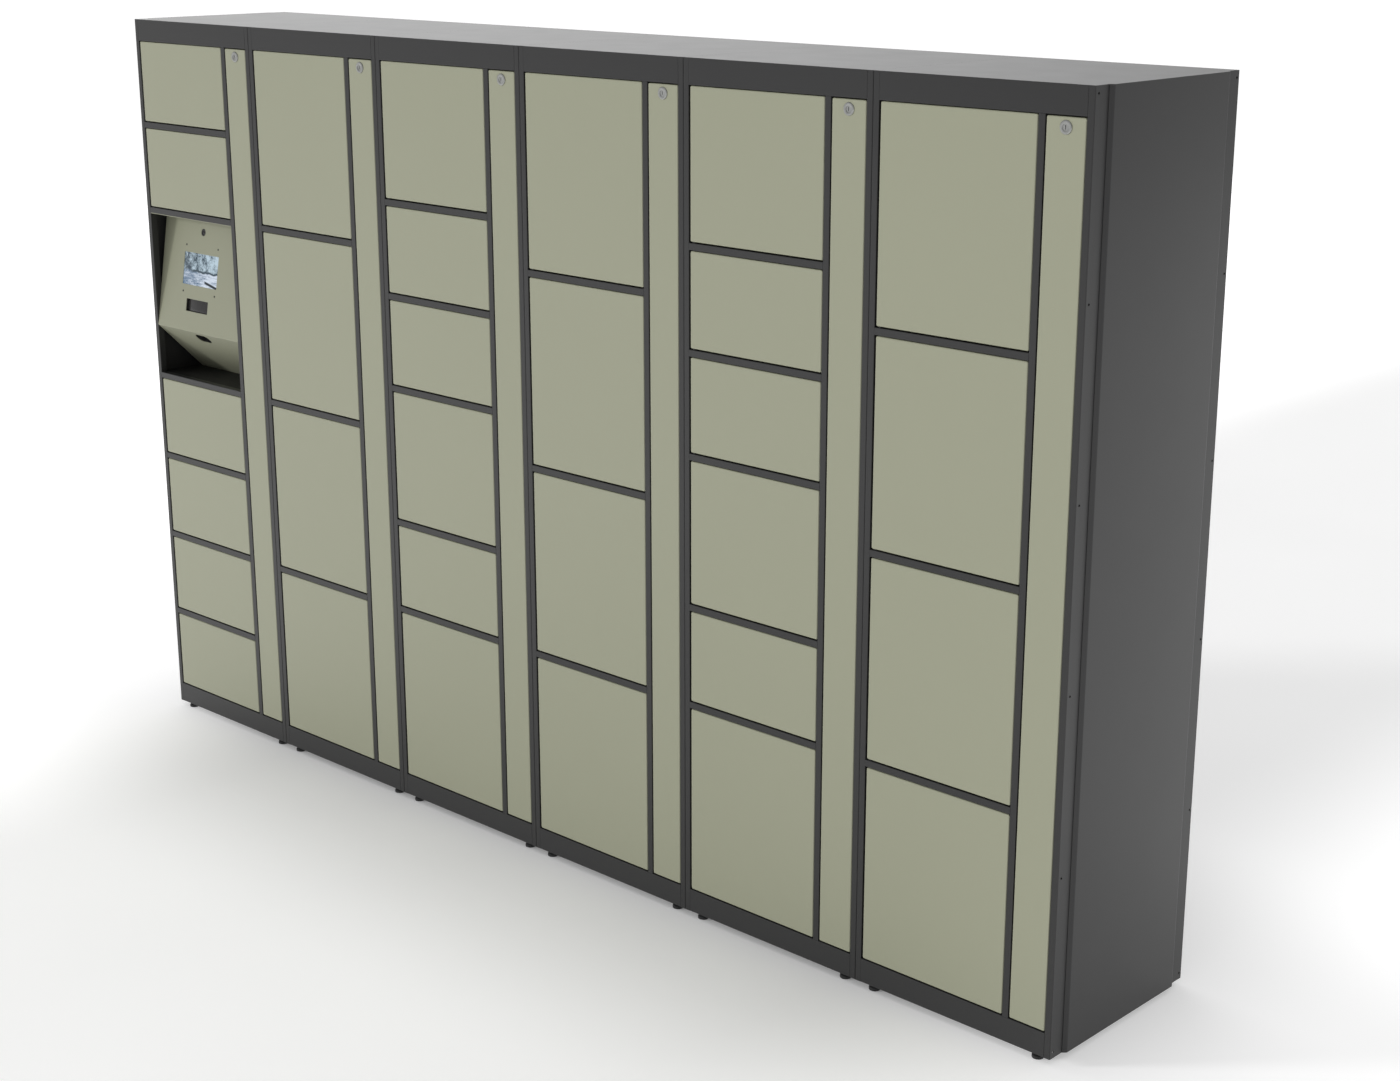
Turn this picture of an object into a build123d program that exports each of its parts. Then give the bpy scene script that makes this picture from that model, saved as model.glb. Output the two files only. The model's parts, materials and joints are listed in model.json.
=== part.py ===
"""Parcel locker: a bank of six steel cabinets with thirty doors and a terminal in the first column.

Millimetres, +Z up. The origin is the middle of the footprint at floor level, +X runs to the right as
the user stands before the doors, and +Y runs from the doors to the back.
"""

from math import cos, radians, sin, tan
import os

from build123d import *

os.makedirs("parts", exist_ok=True)

# ------------------------------------------------------------------ driving dimensions
COLUMNS = 6
PITCH = 500.0               # width of one cabinet in the bank
BODY_HEIGHT = 1900.0        # cabinet body without its feet
BODY_DEPTH = 482.0
FOOT_HEIGHT = 15.0          # clear height under the body

SHEET = 1.5                 # steel sheet of every folded piece
SEAM = 0.4                  # open seam between two neighbouring cabinets
SEAT_GAP = 0.1              # bare joint between two pieces welded into one assembly

POST_WIDTH = 15.0           # visible width of an upright, a mullion and a shelf rail
FRAME_DEPTH = 18.0          # depth of the front frame members
REAR_POST_DEPTH = 15.0
HEADER_HEIGHT = 55.0
BASE_HEIGHT = 54.0
BASE_DEPTH = 35.0           # base rails are deeper, so that the feet screw into them
OUTER_BEND = 2.0            # bend radius on the outer front edge of an upright
INNER_BEND = 1.2            # bend radius on the edges beside a door

DUCT_OPENING = 89.0         # opening between the mullion and the right upright
UNITS = 16                  # height units of a column, 15 mm rails included
# Door heights of each column from the bottom up, in units. 0 stands before the terminal's units.
DOOR_UNITS = [
    [2, 2, 2, 2, 0, 2, 2],
    [4, 4, 4, 4],
    [4, 2, 3, 2, 2, 3],
    [4, 4, 4, 4],
    [4, 2, 3, 2, 2, 3],
    [4, 4, 4, 4],
]
TERMINAL_UNITS = 4

# compartment doors
DOOR_DEPTH = 16.0
DOOR_CORNER = 3.5
DOOR_EDGE = 2.5             # bend radius round a door's face
HINGE_GAP = 4.0             # running gaps round a door
LATCH_GAP = 1.0
DOOR_TOP_GAP = 1.6
DOOR_BOTTOM_GAP = 2.8
PIN_INSET = 6.5             # hinge axis, from the door's hinge edge
PIN_DEPTH = 6.5             # hinge axis, behind the door's face
PIN_RADIUS = 2.5
PIN_CLEARANCE = 0.08        # radial, running fit in the door
PIN_REACH = 3.5             # how far a pin stands into the door
SHOULDER_RADIUS = 4.0
SHOULDER_GAP = 0.3          # under the door
STIFFENER_WIDTH = 60.0
STIFFENER_DEPTH = 11.0
STIFFENER_MARGIN = 14.0     # from the door's top and bottom edges

# striker on a door and the electric lock that it enters
STRIKER_SHEET = 2.0
STRIKER_INSET = 12.0        # blade, from the door's latch edge
STRIKER_REACH = 46.0        # blade's end, behind the door's face
STRIKER_HEIGHT = 22.0
STRIKER_FOOT = 12.0
BOLT_HOLE_RADIUS = 4.5
BOLT_DEPTH = 37.0           # bolt axis behind the front plane
LOCK_HEIGHT = 76.0
LOCK_WIDTH = 15.5
LOCK_FRONT = 22.0
LOCK_REAR = 84.0
NOSE_HEIGHT = 28.0
NOSE_REAR = 50.0
NOSE_REACH = 9.5            # how far the lock's nose stands into the compartment
WINDOW_MARGIN = 0.5         # round the nose, in the partition

# service panels
PANEL_LEFT_GAP = 2.5
PANEL_RIGHT_GAP = 1.0
PANEL_TOP_GAP = 2.5
PANEL_BOTTOM_GAP = 2.8
PANEL_DEPTH = 12.0
TAB_WIDTH = 16.0
TAB_SPACING = 50.0
TAB_DROP = 14.0             # hook tab, below the panel's foot
SLOT_MARGIN = 3.0           # at each end of a tab, in the base rail
SLOT_FRONT = 9.8
SLOT_REAR = 16.5

# cam locks
LOCK_BELOW_HEADER = 21.2    # lock axis, below the header
HEAD_RADIUS = 12.8
HEAD_PROUD = 2.0
BARREL_RADIUS = 9.5
BARREL_REAR = 20.0
PLUG_RADIUS = 6.5
PLUG_CLEARANCE = 0.08       # radial, running fit in the barrel
PLUG_RECESS = 0.6
KEYWAY_WIDTH = 1.4
KEYWAY_HEIGHT = 7.5
KEYWAY_DEPTH = 3.0
CAM_LENGTH = 34.0
CAM_WIDTH = 15.0
CAM_SHEET = 2.5
CAM_NUT_RADIUS = 6.0
CAM_NUT_THICKNESS = 4.0

# joining holes and bolts
JOIN_COUNT = 6
JOIN_PITCH = 374.4
JOIN_RADIUS = 2.5
JOIN_INSET = 10.6           # hole lines, from the front
JOIN_EDGE_GAP = 0.5         # between a bolt head and the rear flange
BOLT_RADIUS = 2.4
BOLT_HEAD_RADIUS = 4.0
BOLT_HEAD_HEIGHT = 3.0

# back panel screws
SCREW_RADIUS = 2.0
SCREW_HEAD_RADIUS = 4.0
SCREW_HEAD_PROUD = HEAD_PROUD
SCREW_LENGTH = 7.0
SCREW_CLEARANCE = 0.1
SCREW_ROWS = 5
SCREW_END = 60.0            # first and last screw, from the body's ends

# end panels
END_PROUD = 7.5
END_FRONT = 41.0
END_REAR = 37.7

# feet
FOOT_INSET = 40.0           # foot axis, from the side of its cabinet
FOOT_LINE = 17.5            # foot axis, from the front or the back
FOOT_RADIUS = 12.5
PAD_HEIGHT = 9.0
STUD_RADIUS = 4.0
STUD_REACH = 14.0           # stud inside the base rail
STUD_CLEARANCE = 0.1
FOOT_NUT_RADIUS = 7.5
FOOT_NUT_HEIGHT = 4.0

# terminal
FACE_LEAN = 9.7             # degrees from upright
CONSOLE_SIDE_GAP = 0.4
CONSOLE_LIP = 132.5         # height of the face's lower edge above the bay's floor
CONSOLE_BEND = 2.5
HOOD_DEPTH = 53.0
TERMINAL_CENTRE = 190.0     # middle of the fittings, from the cabinet's left side
SCREEN_WIDTH = 154.0
SCREEN_HEIGHT = 86.0
SCREEN_UP = 166.5           # centres, measured up the face from its lower edge
DISPLAY_WIDTH = 176.0
DISPLAY_HEIGHT = 142.0
DISPLAY_THICKNESS = 12.0
DISPLAY_SCREW_X = 143.0
DISPLAY_SCREW_Y = 124.0
SCREW_HOLE_RADIUS = 1.6
SCANNER_OFFSET = -3.7
SCANNER_WIDTH = 97.5
SCANNER_HEIGHT = 33.2
SCANNER_UP = 69.6
SCANNER_MARGIN = 9.0
SCANNER_RECESS = 5.0
SCANNER_THICKNESS = 22.0
CAMERA_RADIUS = 9.8
CAMERA_UP = 267.0
CAMERA_THICKNESS = 14.0
SLOT_LENGTH = 60.0
SLOT_WIDTH = 32.0
SLOT_OFFSET = 8.0
SLOT_DOWN = 27.0            # slot's centre, down the underside from the lower edge
DUCT_MARGIN = 5.0           # around the slot
DUCT_LENGTH = 30.0
DUCT_WALL = 2.0
CONTROL_SIZE = (220.0, 90.0, 160.0)
CONTROL_GAP = 30.0          # behind the console's rear edge
INLET_RADIUS = 11.0
INLET_LIP = 16.0
INLET_X = 120.0             # from the cabinet's left side
INLET_HEIGHT = 70.0         # above the bay's floor

# ------------------------------------------------------------------ derived places
FRONT = -BODY_DEPTH / 2
BACK = BODY_DEPTH / 2
FLOOR = FOOT_HEIGHT                                     # underside of the body
TOP = FLOOR + BODY_HEIGHT
LEFT = -COLUMNS * PITCH / 2
BASE_TOP = FLOOR + BASE_HEIGHT
HEADER_BOTTOM = TOP - HEADER_HEIGHT
UNIT = (HEADER_BOTTOM - BASE_TOP + POST_WIDTH) / UNITS
MULLION_LEFT = PITCH - POST_WIDTH - DUCT_OPENING - POST_WIDTH
MULLION_RIGHT = MULLION_LEFT + POST_WIDTH
DUCT_RIGHT = PITCH - POST_WIDTH
BACK_PANEL = BACK - SHEET                               # inner face of the back panels
REAR_POST = BACK_PANEL - REAR_POST_DEPTH
REAR_BASE = BACK_PANEL - BASE_DEPTH
JOIN_REAR_INSET = 2 * SHEET + BOLT_HEAD_RADIUS + JOIN_EDGE_GAP
WALL_LEFT = SEAM / 2
WALL_RIGHT = PITCH - SEAM / 2
PIN_Y = FRONT + PIN_DEPTH
HEADER_REAR = FRONT + FRAME_DEPTH

front_plane = Plane.XZ.offset(-FRONT)


def column_x(column):
    """Left side of a cabinet."""
    return LEFT + column * PITCH


def rail_bottom(units):
    """Underside of the rail that lies so many units up a column."""
    return BASE_TOP - POST_WIDTH + units * UNIT


def bays():
    """Column, row and the lowest and highest z of each opening between two rails, terminal included."""
    for column, heights in enumerate(DOOR_UNITS):
        units = 0
        for row, height in enumerate(heights):
            low = rail_bottom(units) + POST_WIDTH
            units += height or TERMINAL_UNITS
            yield column, row, low, rail_bottom(units)


door_bays = [bay for bay in bays() if DOOR_UNITS[bay[0]][bay[1]]]
terminal_bays = [bay for bay in bays() if not DOOR_UNITS[bay[0]][bay[1]]]
rails = [bay for bay in bays() if bay[2] > BASE_TOP + SHEET]
BAY_X = column_x(terminal_bays[0][0])
BAY_FLOOR, BAY_TOP = terminal_bays[0][2:]


def block(low, high, mode=Mode.ADD):
    """A box between two corners, in the part that is being built."""
    size = [b - a for a, b in zip(low, high)]
    with Locations(tuple((a + b) / 2 for a, b in zip(low, high))):
        Box(*size, mode=mode)


def save(part, label):
    """Label a finished piece and write it as its own file."""
    part.label = label
    export_step(part, f"parts/{label}.step")


# ------------------------------------------------------------------ uprights and mullions
JOIN_FIRST = (FLOOR + TOP) / 2 - JOIN_PITCH * (JOIN_COUNT - 1) / 2
join_heights = [JOIN_FIRST + i * JOIN_PITCH for i in range(JOIN_COUNT)]
join_points = [(y, z) for y in (FRONT + JOIN_INSET, BACK - JOIN_REAR_INSET) for z in join_heights]
screw_heights = [FLOOR + SCREW_END + i * (BODY_HEIGHT - 2 * SCREW_END) / (SCREW_ROWS - 1) for i in range(SCREW_ROWS)]
screw_points = [
    (column_x(c) + x, z) for c in range(COLUMNS) for x in (POST_WIDTH / 2, PITCH - POST_WIDTH / 2) for z in screw_heights
]

with BuildPart() as frame_uprights:
    for c in range(COLUMNS):
        x = column_x(c)
        block((x + WALL_LEFT, FRONT, FLOOR), (x + POST_WIDTH, HEADER_REAR, TOP))
        block((x + DUCT_RIGHT, FRONT, FLOOR), (x + WALL_RIGHT, HEADER_REAR, TOP))
        block((x + MULLION_LEFT, FRONT, BASE_TOP), (x + MULLION_RIGHT, HEADER_REAR, HEADER_BOTTOM))
    front_edges = frame_uprights.edges().filter_by(Axis.Z).group_by(Axis.Y)[0].sort_by(Axis.X)
    outer_edges = [e for i, e in enumerate(front_edges) if i % 6 in (0, 5)]
    inner_edges = [e for i, e in enumerate(front_edges) if i % 6 not in (0, 5)]
    fillet(outer_edges, OUTER_BEND)
    fillet(inner_edges, INNER_BEND)
    for c in range(COLUMNS):
        x = column_x(c)
        for a, b, low, high in (
            (WALL_LEFT, POST_WIDTH, FLOOR, TOP),
            (DUCT_RIGHT, WALL_RIGHT, FLOOR, TOP),
            (MULLION_LEFT, MULLION_RIGHT, BASE_TOP, HEADER_BOTTOM),
        ):
            inside = (x + a + SHEET, FRONT + SHEET, low + SHEET)
            block(inside, (x + b - SHEET, HEADER_REAR, high - SHEET), mode=Mode.SUBTRACT)
    for c in range(COLUMNS):
        x = column_x(c)
        for a, b in ((WALL_LEFT, POST_WIDTH), (DUCT_RIGHT, WALL_RIGHT)):
            block((x + a, REAR_POST, FLOOR), (x + b, BACK_PANEL, TOP))
            inside = (x + a + SHEET, REAR_POST, FLOOR + SHEET)
            block(inside, (x + b - SHEET, BACK_PANEL - SHEET, TOP - SHEET), mode=Mode.SUBTRACT)
    for seam in range(COLUMNS + 1):
        with BuildSketch(Plane.YZ.offset(column_x(seam))):
            with Locations(*join_points):
                Circle(JOIN_RADIUS)
        extrude(amount=SEAM / 2 + SHEET, both=True, mode=Mode.SUBTRACT)
    with BuildSketch(Plane.XZ.offset(-BACK_PANEL)):
        with Locations(*screw_points):
            Circle(SCREW_RADIUS + SCREW_CLEARANCE)
    extrude(amount=SHEET, mode=Mode.SUBTRACT)
save(frame_uprights.part, "frame_uprights")

# ------------------------------------------------------------------ headers, base rails, shelf rails
foot_points = [
    (column_x(c) + x, y)
    for c in range(COLUMNS)
    for x in (FOOT_INSET, PITCH - FOOT_INSET)
    for y in (FRONT + FOOT_LINE, BACK - FOOT_LINE)
]

panel_centre = (MULLION_RIGHT + PANEL_LEFT_GAP + DUCT_RIGHT - PANEL_RIGHT_GAP) / 2
tab_points = [column_x(c) + panel_centre + s * TAB_SPACING / 2 for c in range(COLUMNS) for s in (-1, 1)]

with BuildPart() as frame_rails:
    for c in range(COLUMNS):
        x0 = column_x(c) + POST_WIDTH
        x1 = column_x(c) + DUCT_RIGHT
        block((x0, FRONT, HEADER_BOTTOM), (x1, HEADER_REAR, TOP))
        block((x0, FRONT, FLOOR), (x1, FRONT + BASE_DEPTH, BASE_TOP))
    for c, row, low, high in rails:
        x = column_x(c)
        block((x + POST_WIDTH, FRONT, low - POST_WIDTH), (x + MULLION_LEFT, HEADER_REAR, low))
    fillet(frame_rails.edges().filter_by(Axis.X).group_by(Axis.Y)[0], INNER_BEND)
    for c in range(COLUMNS):
        x0 = column_x(c) + POST_WIDTH
        x1 = column_x(c) + DUCT_RIGHT
        inside = (x0 + SHEET, FRONT + SHEET, HEADER_BOTTOM + SHEET)
        block(inside, (x1 - SHEET, HEADER_REAR, TOP - SHEET), mode=Mode.SUBTRACT)
        inside = (x0 + SHEET, FRONT + SHEET, FLOOR + SHEET)
        block(inside, (x1 - SHEET, FRONT + BASE_DEPTH, BASE_TOP - SHEET), mode=Mode.SUBTRACT)
    for c, row, low, high in rails:
        x = column_x(c)
        inside = (x + POST_WIDTH + SHEET, FRONT + SHEET, low - POST_WIDTH + SHEET)
        block(inside, (x + MULLION_LEFT - SHEET, HEADER_REAR, low - SHEET), mode=Mode.SUBTRACT)
    for c in range(COLUMNS):
        x0 = column_x(c) + POST_WIDTH
        x1 = column_x(c) + DUCT_RIGHT
        block((x0, REAR_POST, HEADER_BOTTOM), (x1, BACK_PANEL, TOP))
        inside = (x0 + SHEET, REAR_POST, HEADER_BOTTOM + SHEET)
        block(inside, (x1 - SHEET, BACK_PANEL - SHEET, TOP - SHEET), mode=Mode.SUBTRACT)
        block((x0, REAR_BASE, FLOOR), (x1, BACK_PANEL, BASE_TOP))
        inside = (x0 + SHEET, REAR_BASE, FLOOR + SHEET)
        block(inside, (x1 - SHEET, BACK_PANEL - SHEET, BASE_TOP - SHEET), mode=Mode.SUBTRACT)
    with BuildSketch(Plane.XY.offset(FLOOR)):
        with Locations(*foot_points):
            Circle(STUD_RADIUS + STUD_CLEARANCE)
    extrude(amount=SHEET, mode=Mode.SUBTRACT)
    for x in tab_points:
        half = TAB_WIDTH / 2 + SLOT_MARGIN
        block(
            (x - half, FRONT + SLOT_FRONT, BASE_TOP - SHEET),
            (x + half, FRONT + SLOT_REAR, BASE_TOP),
            mode=Mode.SUBTRACT,
        )
save(frame_rails.part, "frame_rails")

# ------------------------------------------------------------------ walls, partitions, shelves, skins
with BuildPart() as side_walls:
    for c in range(COLUMNS):
        x = column_x(c)
        block((x + WALL_LEFT, HEADER_REAR, FLOOR), (x + WALL_LEFT + SHEET, REAR_POST, TOP))
        block((x + WALL_RIGHT - SHEET, HEADER_REAR, FLOOR), (x + WALL_RIGHT, REAR_POST, TOP))
save(side_walls.part, "side_walls")

lock_places = [(c, (low + high) / 2) for c, row, low, high in door_bays]

with BuildPart() as partitions:
    for c in range(COLUMNS):
        x = column_x(c) + MULLION_LEFT
        block((x, HEADER_REAR, BASE_TOP), (x + SHEET, REAR_POST, TOP - SHEET))
    for c, z in lock_places:
        x = column_x(c) + MULLION_LEFT
        half = NOSE_HEIGHT / 2 + WINDOW_MARGIN
        block(
            (x, FRONT + LOCK_FRONT - WINDOW_MARGIN, z - half),
            (x + SHEET, FRONT + NOSE_REAR + WINDOW_MARGIN, z + half),
            mode=Mode.SUBTRACT,
        )
save(partitions.part, "partitions")

with BuildPart() as shelves:
    for c, row, low, high in rails:
        x = column_x(c)
        block((x + WALL_LEFT + SHEET, HEADER_REAR, low - SHEET), (x + MULLION_LEFT, REAR_POST, low))
        block((x + POST_WIDTH, REAR_POST, low - SHEET), (x + MULLION_LEFT, BACK_PANEL, low))
save(shelves.part, "shelves")

with BuildPart() as top_and_floor_panels:
    for c in range(COLUMNS):
        x0 = column_x(c) + WALL_LEFT + SHEET
        x1 = column_x(c) + WALL_RIGHT - SHEET
        block((x0, HEADER_REAR, TOP - SHEET), (x1, REAR_POST, TOP))
        block((x0, FRONT + BASE_DEPTH, BASE_TOP - SHEET), (x1, REAR_BASE, BASE_TOP))
save(top_and_floor_panels.part, "top_and_floor_panels")

with BuildPart() as back_panels:
    for c in range(COLUMNS):
        x = column_x(c)
        block((x + WALL_LEFT, BACK_PANEL, FLOOR), (x + WALL_RIGHT, BACK, TOP))
    with BuildSketch(Plane.XZ.offset(-BACK_PANEL)):
        with Locations(*screw_points):
            Circle(SCREW_RADIUS + SCREW_CLEARANCE)
        with Locations((BAY_X + INLET_X, BAY_FLOOR + INLET_HEIGHT)):
            Circle(INLET_RADIUS)
    extrude(amount=-SHEET, mode=Mode.SUBTRACT)
save(back_panels.part, "back_panels")

with BuildPart() as end_panels:
    for side in (-1, 1):
        wall = side * (-LEFT - SEAM / 2)
        face = side * (-LEFT + END_PROUD)
        y0 = FRONT + END_FRONT
        y1 = BACK - END_REAR
        slope = END_PROUD + SEAM / 2
        with BuildSketch(Plane.XY.offset(FLOOR)):
            with BuildLine():
                Polyline((wall, y0), (face, y0 + slope), (face, y1 - slope), (wall, y1), close=True)
            make_face()
        extrude(amount=BODY_HEIGHT)
        inner = side * (-LEFT + END_PROUD - SHEET)
        thin = SHEET * tan(radians(22.5))
        run = slope - SHEET
        foot = SHEET + thin
        with BuildSketch(Plane.XY.offset(FLOOR + SHEET)):
            with BuildLine():
                Polyline(
                    (wall, y0 + foot + thin),
                    (inner, y0 + foot + thin + run),
                    (inner, y1 - foot - thin - run),
                    (wall, y1 - foot - thin),
                    close=True,
                )
            make_face()
        extrude(amount=BODY_HEIGHT - 2 * SHEET, mode=Mode.SUBTRACT)
save(end_panels.part, "end_panels")

# ------------------------------------------------------------------ feet
foot_profile = [
    (0, 0),
    (FOOT_RADIUS - 1, 0),
    (FOOT_RADIUS, 1),
    (FOOT_RADIUS, PAD_HEIGHT - 2),
    (FOOT_RADIUS - 3, PAD_HEIGHT),
    (FOOT_NUT_RADIUS, PAD_HEIGHT),
    (FOOT_NUT_RADIUS, PAD_HEIGHT + FOOT_NUT_HEIGHT),
    (STUD_RADIUS, PAD_HEIGHT + FOOT_NUT_HEIGHT),
    (STUD_RADIUS, FOOT_HEIGHT + STUD_REACH),
    (0, FOOT_HEIGHT + STUD_REACH),
]
with BuildPart(mode=Mode.PRIVATE) as foot:
    with BuildSketch(Plane.XZ):
        with BuildLine():
            Polyline(*foot_profile, close=True)
        make_face()
    revolve(axis=Axis.Z)
with BuildPart() as levelling_feet:
    with Locations(*foot_points):
        add(foot.part)
save(levelling_feet.part, "levelling_feet")

# ------------------------------------------------------------------ hinge pins
pin_places = []
for c, row, low, high in door_bays:
    x = column_x(c) + POST_WIDTH + HINGE_GAP + PIN_INSET
    pin_places.append((x, low, high))

with BuildPart() as hinge_pins:
    for x, low, high in pin_places:
        shoulder = DOOR_BOTTOM_GAP - SHOULDER_GAP
        with BuildSketch(Plane.XY.offset(low)):
            with Locations((x, PIN_Y)):
                Circle(SHOULDER_RADIUS)
        extrude(amount=shoulder)
        with BuildSketch(Plane.XY.offset(low)):
            with Locations((x, PIN_Y)):
                Circle(PIN_RADIUS)
        extrude(amount=DOOR_BOTTOM_GAP + PIN_REACH)
        with BuildSketch(Plane.XY.offset(high)):
            with Locations((x, PIN_Y)):
                Circle(PIN_RADIUS)
        extrude(amount=-DOOR_TOP_GAP - PIN_REACH)
save(hinge_pins.part, "hinge_pins")

# ------------------------------------------------------------------ electric locks
with BuildPart() as electric_locks:
    for c, z in lock_places:
        x = column_x(c) + MULLION_LEFT + SHEET
        y = FRONT + LOCK_FRONT
        block((x, y, z - LOCK_HEIGHT / 2), (x + LOCK_WIDTH, FRONT + LOCK_REAR, z + LOCK_HEIGHT / 2))
        nose = x - SHEET - NOSE_REACH
        block((nose, y, z - NOSE_HEIGHT / 2), (x, FRONT + NOSE_REAR, z + NOSE_HEIGHT / 2))
save(electric_locks.part, "electric_locks")

# ------------------------------------------------------------------ compartment doors
for c, row, low, high in door_bays:
    x0 = column_x(c) + POST_WIDTH + HINGE_GAP
    x1 = column_x(c) + MULLION_LEFT - LATCH_GAP
    z0 = low + DOOR_BOTTOM_GAP
    z1 = high - DOOR_TOP_GAP
    middle = ((x0 + x1) / 2, (z0 + z1) / 2)
    hinge = (x0 + PIN_INSET, PIN_Y)
    lock_z = (low + high) / 2
    with BuildPart() as door:
        with BuildSketch(front_plane):
            with Locations(middle):
                RectangleRounded(x1 - x0, z1 - z0, DOOR_CORNER)
        extrude(amount=-DOOR_DEPTH)
        fillet(door.faces().sort_by(Axis.Y)[0].edges(), DOOR_EDGE)
        with BuildSketch(front_plane.offset(-DOOR_DEPTH)):
            with Locations(middle):
                RectangleRounded(x1 - x0 - 2 * SHEET, z1 - z0 - 2 * SHEET, DOOR_CORNER - SHEET)
        extrude(amount=DOOR_DEPTH - SHEET, mode=Mode.SUBTRACT)
        for z in (z0, z1 - SHEET):
            with BuildSketch(Plane.XY.offset(z)):
                with Locations(hinge):
                    Circle(PIN_RADIUS + PIN_CLEARANCE)
            extrude(amount=SHEET, mode=Mode.SUBTRACT)
        # stiffener: a channel whose open side lies against the face
        inner_face = FRONT + SHEET + SEAT_GAP
        left = middle[0] - STIFFENER_WIDTH / 2
        right = middle[0] + STIFFENER_WIDTH / 2
        bottom = z0 + STIFFENER_MARGIN
        top = z1 - STIFFENER_MARGIN
        block((left, inner_face, bottom), (right, inner_face + STIFFENER_DEPTH, top))
        block(
            (left + SHEET, inner_face, bottom),
            (right - SHEET, inner_face + STIFFENER_DEPTH - SHEET, top),
            mode=Mode.SUBTRACT,
        )
        # striker: a foot on the face and a blade that reaches back beside the lock
        blade = x1 - STRIKER_INSET
        half = STRIKER_HEIGHT / 2
        block(
            (blade - STRIKER_FOOT, inner_face, lock_z - half),
            (blade, inner_face + STRIKER_SHEET, lock_z + half),
        )
        block(
            (blade - STRIKER_SHEET, inner_face, lock_z - half),
            (blade, FRONT + STRIKER_REACH, lock_z + half),
        )
        with BuildSketch(Plane.YZ.offset(blade)):
            with Locations((FRONT + BOLT_DEPTH, lock_z)):
                Circle(BOLT_HOLE_RADIUS)
        extrude(amount=-STRIKER_SHEET, mode=Mode.SUBTRACT)
    save(door.part, f"door_c{c + 1}_r{row + 1}")

# ------------------------------------------------------------------ service panels and cam locks
LOCK_Z = HEADER_BOTTOM - LOCK_BELOW_HEADER
for c in range(COLUMNS):
    x0 = column_x(c) + MULLION_RIGHT + PANEL_LEFT_GAP
    x1 = column_x(c) + DUCT_RIGHT - PANEL_RIGHT_GAP
    z0 = BASE_TOP + PANEL_BOTTOM_GAP
    z1 = HEADER_BOTTOM - PANEL_TOP_GAP
    middle = ((x0 + x1) / 2, (z0 + z1) / 2)
    lock = (middle[0], LOCK_Z)
    with BuildPart() as panel:
        with BuildSketch(front_plane):
            with Locations(middle):
                RectangleRounded(x1 - x0, z1 - z0, DOOR_CORNER)
        extrude(amount=-PANEL_DEPTH)
        fillet(panel.faces().sort_by(Axis.Y)[0].edges(), DOOR_EDGE)
        with BuildSketch(front_plane.offset(-PANEL_DEPTH)):
            with Locations(middle):
                RectangleRounded(x1 - x0 - 2 * SHEET, z1 - z0 - 2 * SHEET, DOOR_CORNER - SHEET)
        extrude(amount=PANEL_DEPTH - SHEET, mode=Mode.SUBTRACT)
        for s in (-1, 1):
            x = middle[0] + s * TAB_SPACING / 2
            block(
                (x - TAB_WIDTH / 2, FRONT + PANEL_DEPTH - SHEET, z0 - TAB_DROP),
                (x + TAB_WIDTH / 2, FRONT + PANEL_DEPTH, z0 + SHEET),
            )
        with BuildSketch(front_plane):
            with Locations(lock):
                Circle(BARREL_RADIUS + SEAT_GAP)
        extrude(amount=-SHEET, mode=Mode.SUBTRACT)
        # barrel: a domed head on the face and a sleeve behind it
        with BuildSketch(front_plane.offset(SEAT_GAP)):
            with Locations(lock):
                Circle(HEAD_RADIUS)
        extrude(amount=HEAD_PROUD - SEAT_GAP)
        fillet(panel.faces().sort_by(Axis.Y)[0].edges(), HEAD_PROUD * 0.6)
        with BuildSketch(front_plane.offset(-BARREL_REAR)):
            with Locations(lock):
                Circle(BARREL_RADIUS)
        extrude(amount=BARREL_REAR + SEAT_GAP)
        with BuildSketch(front_plane.offset(-BARREL_REAR)):
            with Locations(lock):
                Circle(PLUG_RADIUS + PLUG_CLEARANCE)
        extrude(amount=BARREL_REAR + HEAD_PROUD, mode=Mode.SUBTRACT)
    save(panel.part, f"service_panel_c{c + 1}")

    cam_front = BARREL_REAR + 2 * SEAT_GAP
    with BuildPart() as cam:
        with BuildSketch(front_plane.offset(HEAD_PROUD - PLUG_RECESS)):
            with Locations(lock):
                Circle(PLUG_RADIUS)
        extrude(amount=PLUG_RECESS - HEAD_PROUD - cam_front)
        with BuildSketch(front_plane.offset(HEAD_PROUD - PLUG_RECESS)):
            with Locations(lock):
                Rectangle(KEYWAY_WIDTH, KEYWAY_HEIGHT)
        extrude(amount=-KEYWAY_DEPTH, mode=Mode.SUBTRACT)
        with BuildSketch(front_plane.offset(-cam_front)):
            with Locations((lock[0] - CAM_LENGTH / 2 + CAM_WIDTH / 4, lock[1])):
                SlotOverall(CAM_LENGTH + CAM_WIDTH / 2, CAM_WIDTH)
        extrude(amount=-CAM_SHEET)
        with BuildSketch(front_plane.offset(-cam_front - CAM_SHEET)):
            with Locations(lock):
                RegularPolygon(CAM_NUT_RADIUS, 6)
        extrude(amount=-CAM_NUT_THICKNESS)
    save(cam.part, f"cam_c{c + 1}")

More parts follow.
